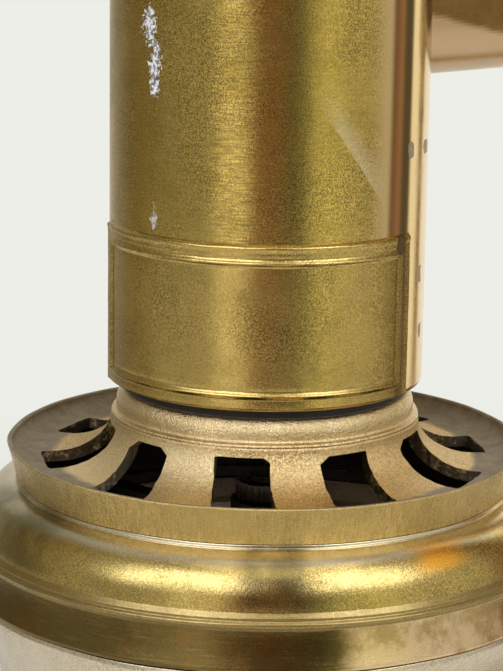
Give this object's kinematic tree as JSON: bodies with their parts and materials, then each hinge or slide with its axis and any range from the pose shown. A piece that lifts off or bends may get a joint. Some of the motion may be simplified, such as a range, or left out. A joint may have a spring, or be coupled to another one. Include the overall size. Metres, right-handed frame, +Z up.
{
  "type": "argand lamp",
  "caption": "Brass argand table lamp: tubular burner with pierced air collar and drip bowl on a side arm, glass chimney and shade, oil urn on a column.",
  "frame": {"origin": "middle of the underside of the base slab", "axes": "+Z up along the column, -X along the side arm towards the burner, +Y across"},
  "size_m": [0.27, 0.14, 0.5023],
  "materials": {
    "brass": "old lacquered brass with speckled olive-brown patina",
    "dull_brass": "oil-darkened brass",
    "clear_glass": "clear blown glass",
    "ground_glass": "finely ground glass",
    "cotton": "woven cotton",
    "iron": "rough",
    "tinplate": "dull tinned sheet"
  },
  "bodies": {
    "lamp": {"burner_body_tube": "brass", "body_floor_ring": "dull_brass", "body_top_cap": "brass", "name_plate": "brass", "air_collar": "brass", "torus_ring": "brass", "bowl_stem": "dull_brass", "bowl_bridge": "dull_brass", "knurled_nut": "dull_brass", "draft_tube": "dull_brass", "shade_ring": "brass", "shade_clamp_screw": "brass", "arm_tube": "brass", "arm_union_nut": "brass", "arm_block": "brass", "urn_foot": "brass", "urn_floor_ring": "brass", "urn_lower_shell": "brass", "urn_upper_shell": "brass", "urn_rim_ring": "brass", "base_slab": "brass", "base_step": "brass", "base_dome": "brass", "base_weight": "iron", "column_ring": "brass", "column_shaft": "brass", "column_capital": "brass", "tie_rod": "iron", "tie_rod_nut": "iron"},
    "gallery": {"raiser_tube": "dull_brass", "chimney_gallery": "brass"},
    "wick_set": {"wick_carrier": "dull_brass", "wick": "cotton"},
    "chimney": {"glass_chimney": "clear_glass"},
    "shade": {"glass_shade": "ground_glass"},
    "bowl": {"drip_bowl": "brass", "bowl_finial": "brass"},
    "bottle": {"urn_cover": "brass", "cover_finial": "brass", "oil_bottle": "tinplate", "valve_seat_ring": "tinplate"},
    "valve": {"valve_rod": "tinplate"}
  },
  "joints": [
    {"name": "gallery_turn", "type": "hinge", "parent": "lamp", "child": "gallery", "pos_m": [-0.14, 0, 0.25], "axis": [0, 0, 1], "range_deg": [0, 300]},
    {"name": "wick_rise", "type": "slide", "parent": "gallery", "child": "wick_set", "axis": [0, 0, 1], "range_m": [0, 0.015]},
    {"name": "chimney_lift", "type": "slide", "parent": "gallery", "child": "chimney", "axis": [0, 0, 1], "range_m": [0, 0.15]},
    {"name": "shade_lift", "type": "slide", "parent": "lamp", "child": "shade", "axis": [0, 0, 1], "range_m": [0, 0.2]},
    {"name": "bowl_drop", "type": "slide", "parent": "lamp", "child": "bowl", "axis": [0, 0, -1], "range_m": [0, 0.05]},
    {"name": "bottle_lift", "type": "slide", "parent": "lamp", "child": "bottle", "axis": [0, 0, 1], "range_m": [0, 0.15]},
    {"name": "valve_rise", "type": "slide", "parent": "bottle", "child": "valve", "axis": [0, 0, 1], "range_m": [0, 0.004]}
  ],
  "couplings": [
    {"joint": "wick_rise", "follows": "gallery_turn", "m_per_rad": 0.0028648}
  ]
}
